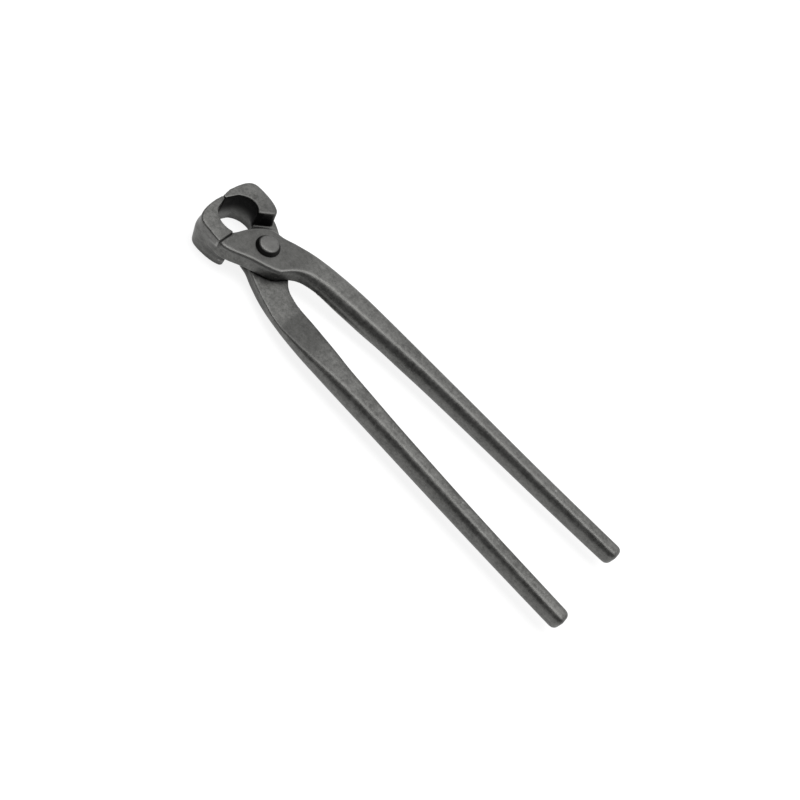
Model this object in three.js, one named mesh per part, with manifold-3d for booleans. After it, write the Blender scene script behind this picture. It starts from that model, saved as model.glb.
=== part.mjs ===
import * as THREE from 'three';
import { mergeVertices } from 'three/addons/utils/BufferGeometryUtils.js';
import Module from 'manifold-3d';

// Concreters' nippers, closed and lying flat. Millimetres, +Y to the jaws, +X to the front lever's
// handle, +Z up on the front lever's side. The pieces are drawn about the middle of the rivet, and
// the whole tool is then set with its middle over the origin, on the surface that it lies on.
// Both levers are the same forging: the rear one is the front one turned half round about Y.

// Overall sizes
const LENGTH = 280;
const JAW_REACH = 36;
const HANDLE_REACH = LENGTH - JAW_REACH;
const JAW_WIDTH = 21.6;
const PLATE_DEPTH = 7.9;
const HANDLE_DEPTH = 12.4;

// Clearances between pieces that slide, turn or meet
const MATING_GAP = 0.3;
const EDGE_GAP = 0.3;
const BORE_GAP = 0.25;
const HEAD_GAP = 0.15;

// Jaw: a round eye, a crown that is square in the shoulders, and a short land at the cutting edge
const EYE_CENTRE = 21.5;
const EYE_RADIUS = 12.4;
const EYE_BEVEL_ANGLE = THREE.MathUtils.degToRad(52);
const LAND_TOP = 35.5;
const LAND_DEPTH = 1.7;
const JAW_SPREAD = 21.8;
const JAW_WIDEST = 25;
const CROWN_START_ANGLE = THREE.MathUtils.degToRad(85);
const CROWN_POWER = 2 / 3;
const JAW_ROUND = 1.2;
const EYE_ROUND_SHARE = 0.2;

// Foot of the jaw: a square step on the plate's side, a slanted overhang on the other side
const STEP_HEIGHT = 16;
const STEP_SPREAD = 22.5;
const OVERHANG_HEIGHT = 10.6;
const OVERHANG_SPREAD = 17.4;
const BLEND_FROM = 0.3 * PLATE_DEPTH;
const BLEND_TO = 0.7 * PLATE_DEPTH;

// Over the overhang the eye's wall hooks in to its foot: by a share of the eye's radius, along a
// share of its arc
const HOOK_SHARE = 0.21;
const HOOK_ARC_SHARE = 0.58;

// Strap across the rivet: half its width, the slope of its long edge and how far its flat runs
const STRAP_HALF = 12.6;
const STRAP_SLOPE_ANGLE = THREE.MathUtils.degToRad(26.3);
const STRAP_STRAIGHT = 14;
const STRAP_ROUND = 2;
const STRAP_OVERLAP = 6;
const CROTCH_DROP = 15;
const FLAT_DROP = 30;
const RAMP_DROP = 54;

// Handle: how far below the rivet its stations lie, and its edges there
const NECK_DROP = 60;
const NECK_INNER = 11.5;
const NECK_OUTER = 27.7;
const GRIP_DROP = 117;
const GRIP_INNER = 16.2;
const GRIP_OUTER = 29;
const END_INNER = 21.8;
const END_OUTER = 31.7;
const HANDLE_ROUND = 4.2;
const END_ROUND = 3.6;
const CRISP_ROUND = 0.25;

// Upper edge of the strap under the eye: [shares of the step's height, shares of the eye's radius],
// and the share of the jaw's thickness that it runs in before it ends
const BROW = [[0.913, 0.12], [1.025, 0.65]];
const BROW_END = 0.4;

// Sweeps from the strap to the neck, as shares of the way: [down, across]
const CROTCH_SWEEP = [[0.53, 0.84], [0.27, 0.69], [0.17, 0.57], [0.093, 0.4], [0.044, 0.2]];
const SHOULDER_SWEEP = [[0.68, 0.9], [0.53, 0.79], [0.35, 0.55], [0.25, 0.39], [0.125, 0.2]];

// Rivet: a plain shank with a raised round head on both sides, level with the jaws' side faces
const SHANK_RADIUS = 4.6;
const HEAD_RADIUS = 6.5;
const HEAD_TOP_RADIUS = 4.6;
const HEAD_LIP = 0.9;
const HEAD_HEIGHT = JAW_WIDTH / 2 - PLATE_DEPTH - HEAD_GAP;

// How finely curves are divided
const CORNER_STEPS = 4;
const EDGE_STEPS = 4;
const CROWN_STEPS = 14;
const FOOT_STEPS = 5;
const EYE_STEPS = 18;
const ROUND_STEPS = 48;
const HANDLE_PITCH = 11;
const RAMP_PITCH = 4;
const STRAP_PITCH = 1.5;

const wasm = await Module();
wasm.setup();

function toManifold(geometry) {
  const bare = geometry.clone();
  bare.deleteAttribute('normal');
  bare.deleteAttribute('uv');
  const welded = mergeVertices(bare, 1e-5);
  const mesh = new wasm.Mesh({
    numProp: 3,
    vertProperties: new Float32Array(welded.attributes.position.array),
    triVerts: new Uint32Array(welded.index.array),
  });
  return new wasm.Manifold(mesh);
}

function toGeometry(manifold) {
  const mesh = manifold.getMesh();
  const geometry = new THREE.BufferGeometry();
  geometry.setAttribute('position', new THREE.BufferAttribute(mesh.vertProperties, 3));
  geometry.setIndex(new THREE.BufferAttribute(mesh.triVerts, 1));
  return geometry;
}

function spaced(from, to, steps) {
  return Array.from({ length: steps + 1 }, (unused, i) => from + ((to - from) * i) / steps);
}

function pitched(from, to, pitch) {
  return spaced(from, to, Math.ceil((to - from) / pitch));
}

// A closed body through rings with equal counts of points. flat(point) gives the two coordinates
// in which a ring runs anticlockwise, seen from the end that the rings lead to.
function loft(rings, flat) {
  const count = rings[0].length;
  const last = (rings.length - 1) * count;
  const indices = [];
  for (let start = 0; start < last; start += count) {
    for (let i = 0; i < count; i += 1) {
      const next = (i + 1) % count;
      indices.push(start + i, start + next, start + count + next);
      indices.push(start + i, start + count + next, start + count + i);
    }
  }
  for (const [a, b, c] of THREE.ShapeUtils.triangulateShape(rings[0].map(flat), [])) {
    indices.push(c, b, a);
  }
  for (const [a, b, c] of THREE.ShapeUtils.triangulateShape(rings.at(-1).map(flat), [])) {
    indices.push(last + a, last + b, last + c);
  }
  const geometry = new THREE.BufferGeometry();
  const positions = rings.flat().flatMap((point) => point.toArray());
  geometry.setAttribute('position', new THREE.Float32BufferAttribute(positions, 3));
  geometry.setIndex(indices);
  return geometry;
}

// A smooth curve through [place, value] pairs in rising order, which never swings past a pair.
function through(pairs) {
  const slope = (i) => (pairs[i + 1][1] - pairs[i][1]) / (pairs[i + 1][0] - pairs[i][0]);
  const tangents = pairs.map((pair, i) => {
    if (i === 0) return slope(0);
    if (i === pairs.length - 1) return slope(i - 1);
    const before = slope(i - 1);
    const after = slope(i);
    return before * after > 0 ? (2 * before * after) / (before + after) : 0;
  });
  return (place) => {
    const found = pairs.findIndex((pair) => pair[0] >= place);
    const end = Math.max(1, found < 0 ? pairs.length - 1 : found);
    const [x0, y0] = pairs[end - 1];
    const [x1, y1] = pairs[end];
    const span = x1 - x0;
    const t = THREE.MathUtils.clamp((place - x0) / span, 0, 1);
    const rise = t * t * (3 - 2 * t);
    const bend = t * (1 - t) * span;
    return y0 + (y1 - y0) * rise + bend * ((1 - t) * tangents[end - 1] - t * tangents[end]);
  };
}

// Points of a sweep between the strap's end and the handle's neck, as [Y, X] pairs.
function sweep(shares, [startY, startX], [endY, endX]) {
  return shares.map(([down, across]) => [
    startY + (endY - startY) * down,
    startX + (endX - startX) * across,
  ]);
}

// Edge of the lever that faces the other handle, as X against Y. Beside the rivet it is straight,
// and above that it runs into the outside of the jaw.
function innerEdge() {
  const strap = (y) => [
    y,
    -(STRAP_HALF + y * Math.sin(STRAP_SLOPE_ANGLE)) / Math.cos(STRAP_SLOPE_ANGLE),
  ];
  const crotch = strap(-CROTCH_DROP);
  const neck = [-NECK_DROP, NECK_INNER];
  return through([
    [-HANDLE_REACH, END_INNER],
    [-GRIP_DROP, GRIP_INNER],
    neck,
    ...sweep(CROTCH_SWEEP, crotch, neck),
    crotch,
    strap(0),
    strap(STRAP_STRAIGHT),
    [JAW_WIDEST, -JAW_SPREAD],
  ]);
}

// Edge of the lever on its outer side: under the eye, round about the rivet, out to the handle.
function outerEdge() {
  const tangent = STRAP_HALF * Math.cos(STRAP_SLOPE_ANGLE);
  const neck = [-NECK_DROP, NECK_OUTER];
  const round = spaced(0, tangent, EDGE_STEPS).map((y) => [y, Math.sqrt(STRAP_HALF ** 2 - y ** 2)]);
  return through([
    [-HANDLE_REACH, END_OUTER],
    [-GRIP_DROP, GRIP_OUTER],
    neck,
    ...sweep(SHOULDER_SWEEP, [0, STRAP_HALF], neck),
    ...round,
    ...BROW.map(([up, across]) => [STEP_HEIGHT * up, -EYE_RADIUS * across]),
    [STEP_HEIGHT + STRAP_OVERLAP, THREE.MathUtils.lerp(-EYE_RADIUS, -JAW_SPREAD, BROW_END)],
  ]);
}

// One slice across the lever: a box from left to right and from base to face, with round corners.
function slice(y, box) {
  const corners = [
    [box.right - box.baseRound, box.base + box.baseRound, box.baseRound],
    [box.left + box.baseRound, box.base + box.baseRound, box.baseRound],
    [box.left + box.faceRound, box.face - box.faceRound, box.faceRound],
    [box.right - box.faceRound, box.face - box.faceRound, box.faceRound],
  ];
  return corners.flatMap(([x, z, radius], quarter) => {
    const start = (quarter * Math.PI) / 2;
    return spaced(start, start + Math.PI / 2, CORNER_STEPS).map((angle) => (
      new THREE.Vector3(x + radius * Math.cos(angle), y, z - radius * Math.sin(angle))
    ));
  });
}

// Handle and strap in one: slices from the handle's round end up into the jaw.
function handleAndStrap() {
  const half = HANDLE_DEPTH / 2;
  const inner = innerEdge();
  const outer = outerEdge();
  const base = through([[-RAMP_DROP, -half], [-FLAT_DROP, MATING_GAP / 2]]);
  const face = through([[-RAMP_DROP, half], [-CROTCH_DROP, PLATE_DEPTH]]);
  const baseRound = through([[-RAMP_DROP, HANDLE_ROUND], [-FLAT_DROP, CRISP_ROUND]]);
  const faceRound = through([[-RAMP_DROP, HANDLE_ROUND], [-CROTCH_DROP, STRAP_ROUND]]);
  const sliceAt = (y, inset = 0) => slice(y, {
    left: inner(y) + inset,
    right: outer(y) - inset,
    base: base(y) + inset,
    face: face(y) - inset,
    baseRound: Math.max(baseRound(y) - inset, CRISP_ROUND),
    faceRound: Math.max(faceRound(y) - inset, CRISP_ROUND),
  });
  const end = spaced(Math.PI / 2, 0, EDGE_STEPS).map((angle) => (
    sliceAt(END_ROUND * (1 - Math.sin(angle)) - HANDLE_REACH, END_ROUND * (1 - Math.cos(angle)))
  ));
  const places = [
    ...pitched(END_ROUND - HANDLE_REACH, -RAMP_DROP, HANDLE_PITCH).slice(1, -1),
    ...pitched(-RAMP_DROP, -FLAT_DROP, RAMP_PITCH).slice(0, -1),
    ...pitched(-FLAT_DROP, STEP_HEIGHT + STRAP_OVERLAP, STRAP_PITCH),
  ];
  const rings = [...end, ...places.map((y) => sliceAt(y))];
  return loft(rings, (point) => new THREE.Vector2(point.x, -point.z));
}

// The jaw's outline seen along Z, from the cutting edge round the outside and back by the eye.
function jawOutline(footX, footY, hookShare) {
  const height = JAW_REACH - JAW_WIDEST;
  const crown = spaced(CROWN_START_ANGLE, 0, CROWN_STEPS).map((angle) => new THREE.Vector2(
    -JAW_SPREAD * Math.cos(angle) ** CROWN_POWER,
    JAW_WIDEST + height * Math.sin(angle) ** CROWN_POWER,
  ));
  const foot = new THREE.QuadraticBezierCurve(
    crown.at(-1),
    new THREE.Vector2(Math.min(footX, -JAW_SPREAD), (JAW_WIDEST + footY) / 2),
    new THREE.Vector2(footX, footY),
  ).getPoints(FOOT_STEPS);
  const corner = Math.asin((STEP_HEIGHT - EYE_CENTRE) / EYE_RADIUS);
  const centre = new THREE.Vector2(0, EYE_CENTRE);
  const eye = new THREE.EllipseCurve(
    0, EYE_CENTRE, EYE_RADIUS, EYE_RADIUS, Math.PI - corner, Math.PI - EYE_BEVEL_ANGLE, true,
  ).getPoints(EYE_STEPS).map((point, i) => (
    point.lerp(centre, hookShare * Math.max(0, 1 - i / (EYE_STEPS * HOOK_ARC_SHARE)) ** 2)
  ));
  return [
    new THREE.Vector2(-EDGE_GAP / 2, LAND_TOP),
    ...crown,
    ...foot.slice(1),
    ...eye,
    new THREE.Vector2(-EDGE_GAP / 2, LAND_TOP - LAND_DEPTH),
  ];
}

// The outline at one height, drawn in from its outer edge. The cutting end and the eye stay crisp.
function jawRing(outline, z, inset) {
  const footIndex = CROWN_STEPS + FOOT_STEPS + 1;
  return outline.map((point, i) => {
    const before = outline.at(i - 1);
    const after = outline[(i + 1) % outline.length];
    const inward = new THREE.Vector2(before.y - after.y, after.x - before.x).normalize();
    const side = i < footIndex ? 1 : EYE_ROUND_SHARE;
    const share = side * THREE.MathUtils.smoothstep(i, 0, CROWN_STEPS / 2);
    const moved = point.clone().addScaledVector(inward, inset * share);
    return new THREE.Vector3(moved.x, moved.y, z);
  });
}

// The jaw's foot is a step where it stands on its own plate. On the other side it overhangs, with
// a slanted wall that leaves room for the other lever's plate to turn.
function jaw() {
  const half = JAW_WIDTH / 2;
  const onPlate = jawOutline(-STEP_SPREAD, STEP_HEIGHT, 0);
  const overhang = jawOutline(-OVERHANG_SPREAD, OVERHANG_HEIGHT, HOOK_SHARE);
  const rounding = spaced(0, Math.PI / 2, EDGE_STEPS).map((angle) => ({
    inset: JAW_ROUND * (1 - Math.sin(angle)),
    depth: JAW_ROUND * (1 - Math.cos(angle)),
  }));
  const rings = [
    ...rounding.map(({ inset, depth }) => jawRing(overhang, depth - half, inset)),
    jawRing(overhang, BLEND_FROM, 0),
    jawRing(onPlate, BLEND_TO, 0),
    ...rounding.toReversed().map(({ inset, depth }) => jawRing(onPlate, half - depth, inset)),
  ];
  return loft(rings, (point) => new THREE.Vector2(point.x, point.y));
}

function leverGeometry() {
  const radius = SHANK_RADIUS + BORE_GAP;
  const bore = new THREE.CylinderGeometry(radius, radius, JAW_WIDTH, ROUND_STEPS);
  const body = toManifold(handleAndStrap()).add(toManifold(jaw()));
  return toGeometry(body.subtract(toManifold(bore.rotateX(Math.PI / 2))));
}

function rivetGeometry() {
  const seat = PLATE_DEPTH + HEAD_GAP;
  const shoulder = spaced(0, Math.PI / 2, EDGE_STEPS).map((angle) => [
    HEAD_TOP_RADIUS + (HEAD_RADIUS - HEAD_TOP_RADIUS) * Math.cos(angle),
    seat + HEAD_LIP + (HEAD_HEIGHT - HEAD_LIP) * Math.sin(angle),
  ]);
  const upper = [
    [SHANK_RADIUS, seat],
    [HEAD_RADIUS, seat],
    ...shoulder,
    [0, seat + HEAD_HEIGHT],
  ];
  const lower = upper.map(([radius, z]) => [radius, -z]).reverse();
  const profile = [...lower, ...upper].map(([radius, z]) => new THREE.Vector2(radius, z));
  const turned = new THREE.LatheGeometry(profile, ROUND_STEPS).rotateX(Math.PI / 2);
  return toGeometry(toManifold(turned));
}

function piece(name, geometry, colour, roughness) {
  const material = new THREE.MeshStandardMaterial({ color: colour, roughness, metalness: 0.8 });
  const mesh = new THREE.Mesh(geometry, material);
  mesh.name = name;
  return mesh;
}

const lever = leverGeometry();
const nippers = new THREE.Group();
nippers.position.set(0, LENGTH / 2 - JAW_REACH, JAW_WIDTH / 2);
nippers.add(piece('front_lever', lever, 0x4a4b4c, 0.5));
nippers.add(piece('rear_lever', lever.clone().rotateY(Math.PI), 0x454647, 0.5));
nippers.add(piece('pivot_rivet', rivetGeometry(), 0x585959, 0.42));

export default nippers;
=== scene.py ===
"""Concreters' nippers: two forged levers and their rivet, dressed for a studio picture.

Metres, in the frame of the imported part: +Y to the jaws, +Z up along the rivet.
"""

import math

import bmesh
import bpy
from mathutils import Matrix, Vector


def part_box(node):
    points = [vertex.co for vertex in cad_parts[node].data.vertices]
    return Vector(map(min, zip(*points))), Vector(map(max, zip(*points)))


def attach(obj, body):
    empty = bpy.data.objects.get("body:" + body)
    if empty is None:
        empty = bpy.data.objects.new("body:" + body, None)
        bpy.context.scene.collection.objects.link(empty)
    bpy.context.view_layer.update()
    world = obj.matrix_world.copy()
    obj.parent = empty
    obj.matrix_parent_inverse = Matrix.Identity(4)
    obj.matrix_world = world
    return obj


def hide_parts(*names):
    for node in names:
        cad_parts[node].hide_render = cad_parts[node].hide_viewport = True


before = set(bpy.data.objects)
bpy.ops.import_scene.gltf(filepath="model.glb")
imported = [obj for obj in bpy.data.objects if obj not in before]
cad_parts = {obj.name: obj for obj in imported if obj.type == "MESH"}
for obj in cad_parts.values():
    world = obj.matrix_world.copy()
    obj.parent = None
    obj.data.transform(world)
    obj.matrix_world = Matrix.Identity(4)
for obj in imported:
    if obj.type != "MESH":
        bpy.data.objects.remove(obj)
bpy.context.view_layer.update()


# Front lever
# One drop forging in carbon steel: a long handle, a flat strap that laps the other lever at the
# rivet, and a wide jaw with a round eye. The flash is trimmed, the lap and the cutting edge are
# ground, and the whole lever is blasted and black phosphated.

MM = 0.001
PIVOT = (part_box("pivot_rivet")[0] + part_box("pivot_rivet")[1]) / 2

# The lever's sizes in millimetres from the middle of the rivet
HANDLE_END = -244.6
END_ROUND = 3.4
MATING_FACE = 0.15
STRAP_FACE = 7.9
JAW_HALF = 10.8
CRISP_ROUND = 0.3
CORNER_STEPS = 8


def through(pairs):
    """A smooth curve through (place, value) pairs in rising order, with no swing past a pair."""
    slopes = [(b[1] - a[1]) / (b[0] - a[0]) for a, b in zip(pairs, pairs[1:])]
    tangents = [slopes[0]]
    for before, after in zip(slopes, slopes[1:]):
        turns_back = before * after <= 0
        tangents.append(0.0 if turns_back else 2 * before * after / (before + after))
    tangents.append(slopes[-1])

    def curve(place):
        i = 0
        while i < len(pairs) - 2 and place > pairs[i + 1][0]:
            i += 1
        (x0, y0), (x1, y1) = pairs[i], pairs[i + 1]
        span = x1 - x0
        t = min(max((place - x0) / span, 0.0), 1.0)
        rise = t * t * (3 - 2 * t)
        bend = t * (1 - t) * span * ((1 - t) * tangents[i] - t * tangents[i + 1])
        return y0 + (y1 - y0) * rise + bend

    return curve


# Edges in X, faces in Z and roundings of the lever, against Y
inner_edge = through([
    (-244.0, 21.8), (-117.0, 16.2), (-60.0, 11.2), (-38.9, 8.7), (-27.2, 6.2), (-22.7, 4.0),
    (-19.2, 0.5), (-17.0, -3.1), (-15.0, -6.65), (0.0, -14.05), (14.0, -20.97), (25.0, -21.8),
])
outer_edge = through([
    (-244.0, 31.7), (-117.0, 29.0), (-60.0, 27.8), (-40.8, 25.9), (-31.8, 24.1), (-21.0, 20.9),
    (-15.0, 18.7), (-7.5, 15.7), (0.0, 12.4), (4.0, 11.6), (8.0, 9.2), (11.3, 4.8),
    (14.2, -1.5), (16.2, -8.1), (22.0, -16.2),
])
back_face = through([
    (-244.0, -5.6), (-190.0, -6.1), (-130.0, -6.5), (-100.0, -6.3), (-70.0, -4.9), (-50.0, -2.6),
    (-30.0, MATING_FACE), (-20.0, MATING_FACE),
])
front_face = through([
    (-244.0, 5.6), (-190.0, 6.1), (-130.0, 6.5), (-60.0, 6.3), (-15.0, STRAP_FACE),
])
back_round = through([
    (-244.0, 3.2), (-130.0, 4.4), (-80.0, 4.0), (-54.0, 2.2), (-30.0, CRISP_ROUND),
    (22.0, CRISP_ROUND),
])
front_round = through([
    (-244.0, 3.2), (-130.0, 4.4), (-70.0, 4.6), (-40.0, 5.0), (-15.0, 2.6), (5.0, 2.0),
    (22.0, 1.8),
])
round_side = through([(-244.0, 1.35), (-190.0, 1.35), (-70.0, 1.3), (-45.0, 1.0)])
front_share = through([(-90.0, 0.5), (-55.0, 0.7), (22.0, 0.7)])
side_draft = through([(-75.0, 0.0), (-45.0, 0.9), (14.0, 1.2), (22.0, 0.0)])
front_crown = through([(-244.0, 0.25), (-60.0, 0.3), (-20.0, 0.1), (22.0, 0.0)])


def lever_section(y, inset=0.0):
    """The lever cut across Y: rounded corners, a drafted inner side and a crowned front."""
    left, right = inner_edge(y) + inset, outer_edge(y) - inset
    low, high = back_face(y) + inset, front_face(y) - inset
    back = max(back_round(y) - inset, CRISP_ROUND)
    front = max(front_round(y) - inset, CRISP_ROUND)
    front_tall = min(front * round_side(y), (high - low) * front_share(y))
    back_tall = min(back * round_side(y), (high - low) * (1 - front_share(y)))
    corners = (
        (right - front, high - front_tall, front, front_tall),
        (left + front, high - front_tall, front, front_tall),
        (left - side_draft(y) + back, low + back_tall, back, back_tall),
        (right - back, low + back_tall, back, back_tall),
    )
    points = []
    for quarter, (x, z, wide, tall) in enumerate(corners):
        for step in range(CORNER_STEPS + 1):
            turn = 0.5 * math.pi * (quarter + step / CORNER_STEPS)
            points.append(Vector((x + wide * math.cos(turn), y, z + tall * math.sin(turn))))
    flat = points[CORNER_STEPS:CORNER_STEPS + 2]
    points[CORNER_STEPS + 1:CORNER_STEPS + 1] = [
        flat[0].lerp(flat[1], k / CORNER_STEPS) for k in range(1, CORNER_STEPS)
    ]
    for point in points[:3 * CORNER_STEPS + 1]:
        share = (2 * point.x - left - right) / (right - left)
        point.z += front_crown(y) * (1 - min(1.0, share * share))
    return points


def extrude_through(name, sections):
    """Adds a filled ring and extrudes it from section to section, which closes the body."""
    bpy.ops.object.select_all(action="DESELECT")
    bpy.ops.mesh.primitive_circle_add(vertices=len(sections[0]), fill_type="NGON")
    piece = bpy.context.object
    piece.name = name
    bpy.ops.object.mode_set(mode="EDIT")
    bpy.ops.mesh.select_mode(type="FACE")
    bpy.ops.mesh.select_all(action="SELECT")
    ring = range(len(sections[0]))
    for number, section in enumerate(sections):
        if number:
            bpy.ops.mesh.extrude_region_move()
        mesh = bmesh.from_edit_mesh(piece.data)
        mesh.verts.index_update()
        mesh.verts.ensure_lookup_table()
        if number:
            ring = [next(edge.other_vert(mesh.verts[i]).index for edge in mesh.verts[i].link_edges
                         if edge.other_vert(mesh.verts[i]).select) for i in ring]
        for index, point in zip(ring, section):
            mesh.verts[index].co = PIVOT + Vector(point) * MM
        bmesh.update_edit_mesh(piece.data)
    bpy.ops.mesh.select_all(action="SELECT")
    bpy.ops.mesh.normals_make_consistent(inside=False)
    bpy.ops.object.mode_set(mode="OBJECT")
    return piece


def quarter_turn(steps):
    """Angles from 0 to a right angle."""
    return [0.5 * math.pi * k / steps for k in range(steps + 1)]


# The handle's end is round, and the bar goes on from there to its end inside the jaw
END_STEPS = 8
NECK, BAR_TOP = -66.0, 21.0
HANDLE_PITCH, NECK_PITCH = 3.0, 1.0
bar_sections = [
    lever_section(HANDLE_END + END_ROUND * (1 - math.sin(turn)), END_ROUND * (1 - math.cos(turn)))
    for turn in reversed(quarter_turn(END_STEPS))
]
place = HANDLE_END + END_ROUND
while place < BAR_TOP:
    place += HANDLE_PITCH if place < NECK else NECK_PITCH
    bar_sections.append(lever_section(place))
front_lever = extrude_through("front_lever_forging", bar_sections)

# The jaw in outline seen along Z: land, crown, wall, foot and eye, in millimetres
EYE_CENTRE, EYE_RADIUS = 21.5, 12.4
EYE_FOOT, EYE_BEVEL = math.radians(206.3), math.radians(128.0)
EYE_FOOT_ROUND = 0.9
LAND_X, LAND_TOP, LAND_FOOT = -0.15, 35.5, 33.8
CROWN_FOOT, CROWN_START = 25.0, math.radians(85.0)
CROWN_STEPS, WALL_STEPS, FOOT_STEPS, EYE_FOOT_STEPS = 24, 10, 6, 4
EYE_STEPS, HOOK_STEPS = 24, 14


def bent(start, corner, end, count):
    """Points of a curve from start to end that turns at the corner, without its first point."""
    shares = [k / count for k in range(1, count + 1)]
    return [start * (1 - t) ** 2 + corner * 2 * t * (1 - t) + end * t * t for t in shares]


def jaw_outline(spread, top, square, foot_x, foot_y, foot_round, hook):
    """The outline, anticlockwise from the cutting edge, with an eye hooked in at the foot."""
    points = [Vector((LAND_X, LAND_TOP))]
    for k in range(CROWN_STEPS + 1):
        turn = CROWN_START * (1 - k / CROWN_STEPS)
        across, up = math.cos(turn) ** square, math.sin(turn) ** square
        points.append(Vector((-spread * across, CROWN_FOOT + (top - CROWN_FOOT) * up)))
    foot = Vector((foot_x, foot_y))
    bulge = Vector((min(foot_x, -spread), (CROWN_FOOT + foot_y) / 2))
    eye = []
    for k in range(EYE_STEPS + 1):
        turn = EYE_FOOT + (EYE_BEVEL - EYE_FOOT) * k / EYE_STEPS
        drawn_in = EYE_RADIUS - hook * max(0.0, 1 - k / HOOK_STEPS) ** 2
        eye.append(Vector((drawn_in * math.cos(turn), EYE_CENTRE + drawn_in * math.sin(turn))))
    inner_wall = (eye[0] - foot).normalized()
    outer_wall = (bulge - foot).normalized()
    foot_start, foot_end = foot + outer_wall * foot_round, foot + inner_wall * foot_round
    points += bent(points[-1], bulge, foot_start, WALL_STEPS)
    points += bent(foot_start, foot, foot_end, FOOT_STEPS)
    points += bent(eye[0] - inner_wall * EYE_FOOT_ROUND, eye[0], eye[1], EYE_FOOT_STEPS) + eye[2:]
    points.append(Vector((LAND_X, LAND_FOOT)))
    return points


# The outer edge of the jaw is rounded, less and less to the cutting edge, and the eye's a little
JAW_ROUND, JAW_ROUND_STEPS = 0.9, 6
EYE_START = CROWN_STEPS + WALL_STEPS + FOOT_STEPS + 3
EYE_ROUND_SHARE = 0.35
CROWN_FADE, EYE_FADE = 12, 6


def jaw_section(outline, z, inset=0.0):
    """The outline at one height, drawn in at its outer edge and a little round the eye."""
    count = len(outline)
    points = []
    for i, point in enumerate(outline):
        along = outline[(i + 1) % count] - outline[i - 1]
        inward = Vector((-along.y, along.x)).normalized()
        share = min(1.0, i / CROWN_FADE)
        if i >= EYE_START:
            share = EYE_ROUND_SHARE * min(1.0, (count - 1 - i) / EYE_FADE)
        moved = point + inward * inset * share
        points.append((moved.x, moved.y, z))
    return points


# On its own strap the jaw's foot is a square step. On the other side it overhangs the other lever
on_plate = jaw_outline(
    spread=21.8, top=36.0, square=0.67, foot_x=-22.5, foot_y=16.0, foot_round=0.8, hook=0.0)
overhang = jaw_outline(
    spread=21.2, top=36.5, square=0.52, foot_x=-17.4, foot_y=9.9, foot_round=3.4, hook=2.7)
overhang_root = jaw_outline(
    spread=21.5, top=36.5, square=0.56, foot_x=-18.4, foot_y=9.0, foot_round=3.6, hook=3.4)
OVERHANG_DEPTH, ROOT_FACE = 9.0, 2.0
PLATE_LEVELS = (5.5, 7.0, 8.5)
jaw_edge = [(JAW_ROUND * (1 - math.cos(turn)), JAW_ROUND * (1 - math.sin(turn)))
            for turn in quarter_turn(JAW_ROUND_STEPS)]
jaw_sections = [jaw_section(overhang, -JAW_HALF + depth, inset) for depth, inset in jaw_edge]
for share in (0.25, 0.5, 0.75, 1.0):
    blended = [a.lerp(b, share) for a, b in zip(overhang, overhang_root)]
    jaw_sections.append(jaw_section(blended, -OVERHANG_DEPTH * (1 - share)))
jaw_sections.append(jaw_section(overhang_root, ROOT_FACE))
jaw_sections += [jaw_section(on_plate, z) for z in PLATE_LEVELS]
jaw_sections += [jaw_section(on_plate, JAW_HALF - depth, inset)
                 for depth, inset in reversed(jaw_edge)]
front_jaw = extrude_through("front_jaw", jaw_sections)

# The bore for the rivet, then jaw and bar in one skin with the soft fillets of a forging
BORE_RADIUS, BORE_DEPTH, BORE_STEPS = 4.85, 30.0, 64
SKIN_VOXEL, SKIN_SMOOTHING = 0.45, 6
bpy.ops.mesh.primitive_cylinder_add(
    vertices=BORE_STEPS, radius=BORE_RADIUS * MM, depth=BORE_DEPTH * MM, location=PIVOT)
bore = bpy.context.object


def select_only(*pieces):
    """Selects these pieces and makes the last one active."""
    bpy.ops.object.select_all(action="DESELECT")
    for piece in pieces:
        piece.select_set(True)
    bpy.context.view_layer.objects.active = pieces[-1]


def apply_modifier(piece, kind, **settings):
    """Puts one modifier on the piece and applies it."""
    select_only(piece)
    modifier = piece.modifiers.new(kind.title(), kind)
    for key, value in settings.items():
        setattr(modifier, key, value)
    bpy.ops.object.modifier_apply(modifier=modifier.name)


apply_modifier(front_lever, "BOOLEAN", operation="DIFFERENCE", object=bore)
bpy.data.objects.remove(bore)
select_only(front_jaw, front_lever)
bpy.ops.object.join()
apply_modifier(front_lever, "REMESH", mode="VOXEL", voxel_size=SKIN_VOXEL * MM)
apply_modifier(front_lever, "SMOOTH", factor=0.5, iterations=SKIN_SMOOTHING)
bpy.ops.object.shade_smooth()


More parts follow.
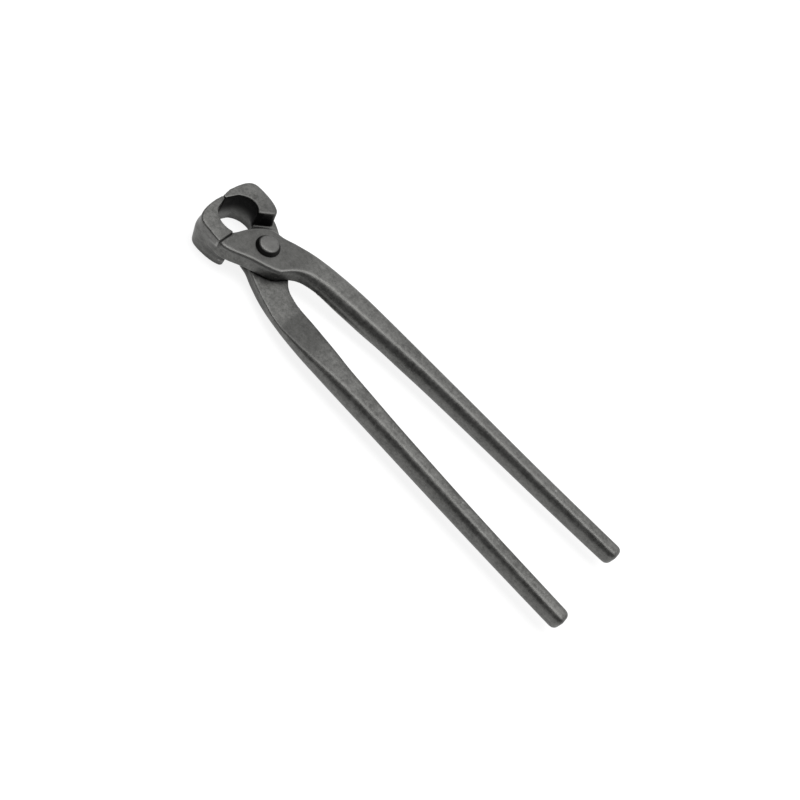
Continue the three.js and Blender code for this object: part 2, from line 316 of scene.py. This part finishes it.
class Shade:
    """A socket of a material's nodes, with the sums that a shader needs."""

    def __init__(self, tree, socket=None):
        self.tree, self.socket = tree, socket

    def node(self, kind, output, settings=(), **values):
        """Any other node: its settings, its sockets by name or number, and the output wanted."""
        made = self.tree.nodes.new("ShaderNode" + kind)
        for key, value in dict(settings).items():
            setattr(made, key, value)
        for key, value in values.items():
            name = key.replace("_", " ")
            socket = made.inputs[int(name[1:])] if name[0] == " " else made.inputs[name]
            if isinstance(value, Shade):
                self.tree.links.new(value.socket, socket)
            else:
                socket.default_value = value
        return Shade(self.tree, made.outputs[output])

    def math(self, operation, first, second=0.0):
        return self.node("Math", "Value", {"operation": operation}, _0=first, _1=second)

    def __add__(self, other):
        return self.math("ADD", self, other)

    __radd__ = __add__

    def __sub__(self, other):
        return self.math("SUBTRACT", self, other)

    def __rsub__(self, other):
        return self.math("SUBTRACT", other, self)

    def __mul__(self, other):
        return self.math("MULTIPLY", self, other)

    def __abs__(self):
        return self.math("ABSOLUTE", self)

    def between(self, low, high):
        """0 at low, 1 at high, held beyond them, and a soft step between."""
        return self.node("MapRange", "Result", {"interpolation_type": "SMOOTHSTEP"},
                         Value=self, From_Min=low, From_Max=high)

    def mix(self, first, second):
        """The first colour where this is 0, and the second where it is 1."""
        return self.node("Mix", 2, {"data_type": "RGBA"}, _0=self, _6=first, _7=second)

    def noise(self, scale, detail=3.0, roughness=0.55):
        """Noise at these coordinates."""
        return self.node("TexNoise", "Fac", Vector=self, Scale=scale, Detail=detail,
                         Roughness=roughness)

    def part(self, axis):
        """One axis of these coordinates."""
        return self.node("SeparateXYZ", axis, Vector=self)

    def from_axis(self, y):
        """How far these coordinates lie from the upright line at this Y on the tool's middle."""
        flat = self.node("VectorMath", "Vector", {"operation": "MULTIPLY_ADD"}, _0=self,
                         _1=(1, 1, 0), _2=(0, -y, 0))
        return self.node("VectorMath", "Value", {"operation": "LENGTH"}, _0=flat)


def new_material(name):
    """A material with its Principled shader, and the Shade that makes its nodes."""
    material = bpy.data.materials.new(name)
    material.use_nodes = True
    return material, material.node_tree.nodes["Principled BSDF"], Shade(material.node_tree)


def plug(material, shader, name, value):
    material.node_tree.links.new(value.socket, shader.inputs[name])


# Black phosphate over blasted steel: fine grain, flecks, cloudy patches and drawn streaks
phosphate, shader, shade = new_material("phosphated_forging")
coords = shade.node("TexCoord", "Object")
grain = coords.noise(1500.0, 4.0, 0.65)
cloud = coords.noise(190.0, 5.0)
patch = coords.noise(32.0)
drawn = shade.node("Mapping", "Vector", Vector=coords, Scale=(900.0, 60.0, 900.0))
streak = drawn.noise(1.0)
fleck = coords.noise(620.0, 4.0, 0.7)
tone = (0.5 + (grain - 0.5) * 0.8 + (fleck - 0.5) * 1.5 + (cloud - 0.5) + (patch - 0.5) * 0.6
        + (streak - 0.5) * 0.4)

# Where a point lies: on an edge or in a corner, how high, how far from the rivet and the eye
bend = shade.node("NewGeometry", "Pointiness")
open_air = shade.node("AmbientOcclusion", "AO", {"samples": 12}, Distance=13.0 * MM)
from_rivet = coords.from_axis(PIVOT.y)
in_eye = coords.from_axis(PIVOT.y + EYE_CENTRE * MM).between(13.4 * MM, 12.9 * MM)
height = coords.part("Z")
off_lap = abs(height - PIVOT.z)
slope = abs(shade.node("NewGeometry", "Normal").part("Z"))
upright, level = slope.between(0.6, 0.3), slope.between(0.8, 0.95)

# Rubbed edges, a painted highlight on the front ridges, a darker strap face by the rivet, the
# unground ramp, and painted shade in the eye, in creases, in hollows and under the strap
wear = bend.between(0.515, 0.575) * (cloud + grain).between(0.7, 1.2)
# painted highlight: a lighter band along the strap's front edge and the handle's neck ridge near
# the rivet
painted_ridge_highlight = (bend.between(0.502, 0.522) * from_rivet.between(80.0 * MM, 50.0 * MM)
         * off_lap.between(4.5 * MM, 5.8 * MM) * off_lap.between(9.2 * MM, 8.4 * MM) * 0.8)
# the strap's front face near the rivet is made darker
darker_strap_face = from_rivet.between(32.0 * MM, 18.0 * MM) * off_lap.between(5.5 * MM, 7.0 * MM) * 0.55
ramp = off_lap.between(0.2 * MM, 0.45 * MM) * off_lap.between(5.0 * MM, 3.2 * MM) * level * 0.5
# painted shade: the upper wall of the eye is made near black, and rougher, as the shadow in the
# hollow
scale = in_eye * height.between(3.5 * MM, 14.5 * MM) * upright
# painted shade in creases and hollows, where the surface curves inward
corner = bend.between(0.485, 0.42)
# painted shade wherever ambient occlusion finds the surface hemmed in
painted_occlusion_shade = open_air.between(0.78, 0.25)
# painted shadow on the upright walls round the rivet under the strap, kept out of the eye
painted_strap_shadow = (open_air.between(0.97, 0.52) * from_rivet.between(38.0 * MM, 28.0 * MM) * upright
           * height.between(4.0 * MM, 8.0 * MM) * (1 - in_eye))
skin = tone.between(-0.1, 1.1).mix((0.07, 0.07, 0.0672, 1), (0.175, 0.1745, 0.168, 1))
# each mask lays its colour over the skin in turn; the ridge colour is a painted highlight, and
# the eye, crease, occlusion and strap colours are painted shade
for mask, colour in (
    (wear, (0.26, 0.258, 0.25, 1)),
    (painted_ridge_highlight, (0.3, 0.298, 0.29, 1)),
    (darker_strap_face, (0.07, 0.0695, 0.067, 1)),
    (ramp, (0.055, 0.055, 0.053, 1)),
    (scale, (0.009, 0.009, 0.0087, 1)),
    (corner, (0.03, 0.03, 0.029, 1)),
    (painted_occlusion_shade, (0.012, 0.012, 0.0115, 1)),
    (painted_strap_shadow, (0.004, 0.004, 0.0039, 1)),
):
    skin = mask.mix(skin, colour)
plug(phosphate, shader, "Base Color", skin)
shader.inputs["Metallic"].default_value = 0.9
plug(phosphate, shader, "Roughness", 0.42 + (tone - 0.5) * 0.14 - wear * 0.08
     + (scale * 0.7 + painted_strap_shadow) * 0.45)
bump = shade.node("Bump", "Normal", Strength=0.5, Distance=0.14 * MM,
                  Height=grain * 0.6 + fleck * 0.9 + cloud * 0.6)
plug(phosphate, shader, "Normal", bump)
front_lever.data.materials.append(phosphate)

# The rear lever is a copy of the forging as it leaves the die, before the pair is fitted
select_only(front_lever)
bpy.ops.object.duplicate()
rear_lever = bpy.context.object

BOW_START, BOW_LIFT = -150.0, 1.5
WALL_ACROSS, WALL_ALONG = (12.0, 8.0), (8.0, 5.0)
SHOULDER_ACROSS, SHOULDER_ALONG = (6.0, 8.0), (22.0, 8.0)


def bow_handle(piece):
    """Lifts the last part of a handle a little, as the trimming of the flash leaves it."""
    start, end = PIVOT.y + BOW_START * MM, PIVOT.y + HANDLE_END * MM
    for vert in piece.data.vertices:
        share = max(0.0, (start - vert.co.y) / (start - end))
        vert.co.z += BOW_LIFT * MM * share * share


def rising(place, zone):
    """0 before the zone's start, 1 after its length, and a straight rise between them."""
    start, length = zone
    return min(max((place - start) / length, 0.0), 1.0)


def fit_jaw(piece, side, across, along):
    """Moves a jaw's wall and shoulder on its overhanging side, as the fitting of a pair does."""
    for vert in piece.data.vertices:
        x, y, z = (vert.co - PIVOT) / MM
        deep = rising(side * z, (0.0, JAW_HALF))
        wall = rising(side * x, WALL_ACROSS) * rising(y, WALL_ALONG)
        shoulder = rising(side * x, SHOULDER_ACROSS) * rising(y, SHOULDER_ALONG)
        vert.co.x += side * across * MM * wall * deep
        vert.co.y += along * MM * shoulder * deep


bow_handle(front_lever)
fit_jaw(front_lever, side=-1, across=-0.2, along=-1.6)
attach(front_lever, "front")
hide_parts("front_lever")


# Rear lever
# The same forging turned over about the length of the tool, so that its strap lies behind the
# front one. Both levers come from one die, in the same steel and finish.

rear_lever.name = "rear_lever_forging"
rear_lever.data.transform(
    Matrix.Translation(PIVOT) @ Matrix.Rotation(math.pi, 4, "Y") @ Matrix.Translation(-PIVOT))
bow_handle(rear_lever)
fit_jaw(rear_lever, side=1, across=0.9, along=-0.3)
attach(rear_lever, "rear")
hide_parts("rear_lever")


# Pivot rivet
# A plain steel rivet through both straps. Each end is upset into a low flat head with a rounded
# edge, and it is phosphated with the levers once they are joined.

RIVET_STEPS = 96
RIVET_BEVEL, BEVEL_FROM, SMOOTH_BELOW = 0.25, math.radians(35), math.radians(40)
half_profile = [
    (4.6, 0.0), (4.6, 8.05), (6.8, 8.05), (6.8, 8.35), (6.4, 8.9), (5.9, 9.6), (5.6, 10.05),
    (5.4, 10.35), (5.1, 10.58), (4.75, 10.71), (4.3, 10.77), (3.0, 10.8), (1.4, 10.8),
]
profile = [(radius, -z) for radius, z in reversed(half_profile)] + half_profile[1:]


def round_section(radius, z):
    turns = [2 * math.pi * k / RIVET_STEPS for k in range(RIVET_STEPS)]
    return [(radius * math.cos(turn), radius * math.sin(turn), z) for turn in turns]


rivet = extrude_through("rivet_turned", [round_section(radius, z) for radius, z in profile])
apply_modifier(rivet, "BEVEL", width=RIVET_BEVEL * MM, segments=3, angle_limit=BEVEL_FROM)
bpy.ops.object.shade_smooth_by_angle(angle=SMOOTH_BELOW)

# The head is rubbed at its edge, and its flank and foot are painted dark as shade
steel, shader, shade = new_material("phosphated_rivet")
coords = shade.node("TexCoord", "Object")
grain = coords.noise(1300.0, 4.0, 0.65)
cloud = coords.noise(260.0, 4.0)
tone = 0.5 + (grain - 0.5) * 0.8 + (cloud - 0.5) * 0.9
bend = shade.node("NewGeometry", "Pointiness")
wear = bend.between(0.52, 0.6) * (cloud + grain).between(0.7, 1.2)
# painted shade on the head's flank and foot, outside the flat top
painted_flank_shade = coords.from_axis(PIVOT.y).between(5.3 * MM, 5.7 * MM)
skin = tone.between(0.0, 1.0).mix((0.09, 0.0895, 0.087, 1), (0.165, 0.164, 0.159, 1))
skin = wear.mix(skin, (0.27, 0.267, 0.26, 1))
skin = painted_flank_shade.mix(skin, (0.015, 0.015, 0.0145, 1))
plug(steel, shader, "Base Color", skin)
shader.inputs["Metallic"].default_value = 0.9
plug(steel, shader, "Roughness", 0.4 + (tone - 0.5) * 0.14)
bump = shade.node("Bump", "Normal", Strength=0.35, Distance=0.1 * MM, Height=grain + cloud * 0.5)
plug(steel, shader, "Normal", bump)
rivet.data.materials.append(steel)
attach(rivet, "rear")
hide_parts("pivot_rivet")


# Studio
# A white sweep on the floor, one large soft box overhead that leans to the far side, and a room
# that is pale on the far side and dim behind the camera.

FLOOR_SIZE, FLOOR_GREY, FLOOR_SEEN = 60.0, 0.26, 0.86
bpy.ops.mesh.primitive_plane_add(size=FLOOR_SIZE)
floor = bpy.context.object
floor.name = "studio_floor"
white, shader, shade = new_material("white_floor")
shader.inputs["Roughness"].default_value = 0.9
shader.inputs["Specular IOR Level"].default_value = 0.0
shader.inputs["Base Color"].default_value = (FLOOR_GREY, FLOOR_GREY, FLOOR_GREY, 1)
direct = shade.node("LightPath", "Is Camera Ray")
glossy = shade.node("LightPath", "Is Glossy Ray")
clear = shade.node("LightPath", "Is Transmission Ray")
seen = (direct + glossy + clear) * FLOOR_SEEN
plug(white, shader, "Emission Color", seen.mix((0, 0, 0, 1), (1, 1, 1, 1)))
shader.inputs["Emission Strength"].default_value = 1.0
floor.data.materials.append(white)


def stand(name, data):
    """An object in the scene that holds a light or a camera."""
    holder = bpy.data.objects.new(name, data)
    bpy.context.collection.objects.link(holder)
    return holder


softbox = bpy.data.lights.new("softbox", "AREA")
softbox.shape = "RECTANGLE"
softbox.size, softbox.size_y = 0.34, 1.1
softbox.energy = 3.3
stand("softbox", softbox).location = (0.09, 0.0, 0.62)

DIM, PALE = (0.2, 0.2, 0.2, 1), (1.05, 1.05, 1.05, 1)
world = bpy.data.worlds.new("studio_room")
bpy.context.scene.world = world
world.use_nodes = True
coords = Shade(world.node_tree).node("TexCoord", "Generated")
far_side = coords.part("X").between(-0.25, 0.5)
ahead = coords.part("Y").between(0.1, 0.6)
room = (far_side * (1 - ahead * 0.5)).mix(DIM, PALE)
background = world.node_tree.nodes["Background"]
world.node_tree.links.new(room.socket, background.inputs["Color"])

# The camera's place and lens were fitted to the edges of both levers in the photograph
camera = bpy.data.cameras.new("camera")
camera.lens, camera.sensor_width = 54.72, 36.0
camera_stand = stand("camera", camera)
camera_stand.matrix_world = Matrix((
    (0.59823, 0.53018, -0.60086, -0.38443),
    (-0.69331, 0.71844, -0.05635, -0.03779),
    (0.40181, 0.45029, 0.79737, 0.51875),
    (0, 0, 0, 1),
))
bpy.context.scene.camera = camera_stand
bpy.context.scene.view_settings.view_transform = "Standard"
